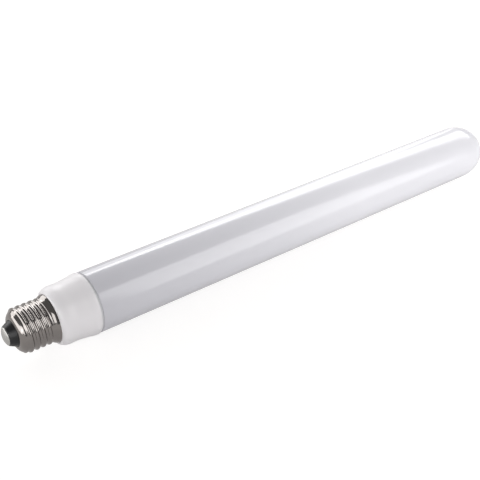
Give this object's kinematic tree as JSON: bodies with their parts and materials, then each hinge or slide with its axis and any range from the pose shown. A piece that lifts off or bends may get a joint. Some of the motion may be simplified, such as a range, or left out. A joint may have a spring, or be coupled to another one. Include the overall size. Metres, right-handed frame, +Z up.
{
  "type": "light bulb",
  "caption": "Tubular screw-cap lamp: long opal tube with a round end, white collar, threaded metal cap and centre contact.",
  "frame": {"origin": "tip of the centre contact, on the lamp's axis", "axes": "+X along the lamp from the contact to the round end, +Z up"},
  "size_m": [0.3693, 0.0366, 0.0366],
  "materials": {
    "opal": "glossy opal white",
    "white_moulding": "semi-matt moulded",
    "nickel_plate": "nickel-plated, rolled",
    "contact_metal": "satin tinned",
    "black_insulator": "moulded, slightly glossy",
    "bond_grey": "cured adhesive",
    "board_green": "glass-epoxy laminate with solder resist",
    "can_sleeve": "shrunk sleeve",
    "film_yellow": "potted box",
    "ferrite": "sintered",
    "copper_winding": "enamelled copper wire",
    "resistor_body": "dipped coating",
    "chip_black": "moulded epoxy",
    "lead_sleeve": "insulated wire"
  },
  "bodies": {
    "root": {"screw_shell": "nickel_plate", "insulator": "black_insulator", "centre_contact": "contact_metal", "collar": "white_moulding", "opal_tube": "opal", "seam_bond": "bond_grey", "driver_board": "board_green", "smoothing_capacitor": "can_sleeve", "output_capacitor": "can_sleeve", "film_capacitor": "film_yellow", "choke_core": "ferrite", "choke_winding": "copper_winding", "transformer_core": "ferrite", "transformer_winding": "copper_winding", "fusible_resistor": "resistor_body", "bridge_rectifier": "chip_black", "driver_chip": "chip_black", "live_lead": "lead_sleeve", "neutral_lead": "lead_sleeve", "output_lead_front": "lead_sleeve", "output_lead_rear": "lead_sleeve"}
  },
  "joints": []
}
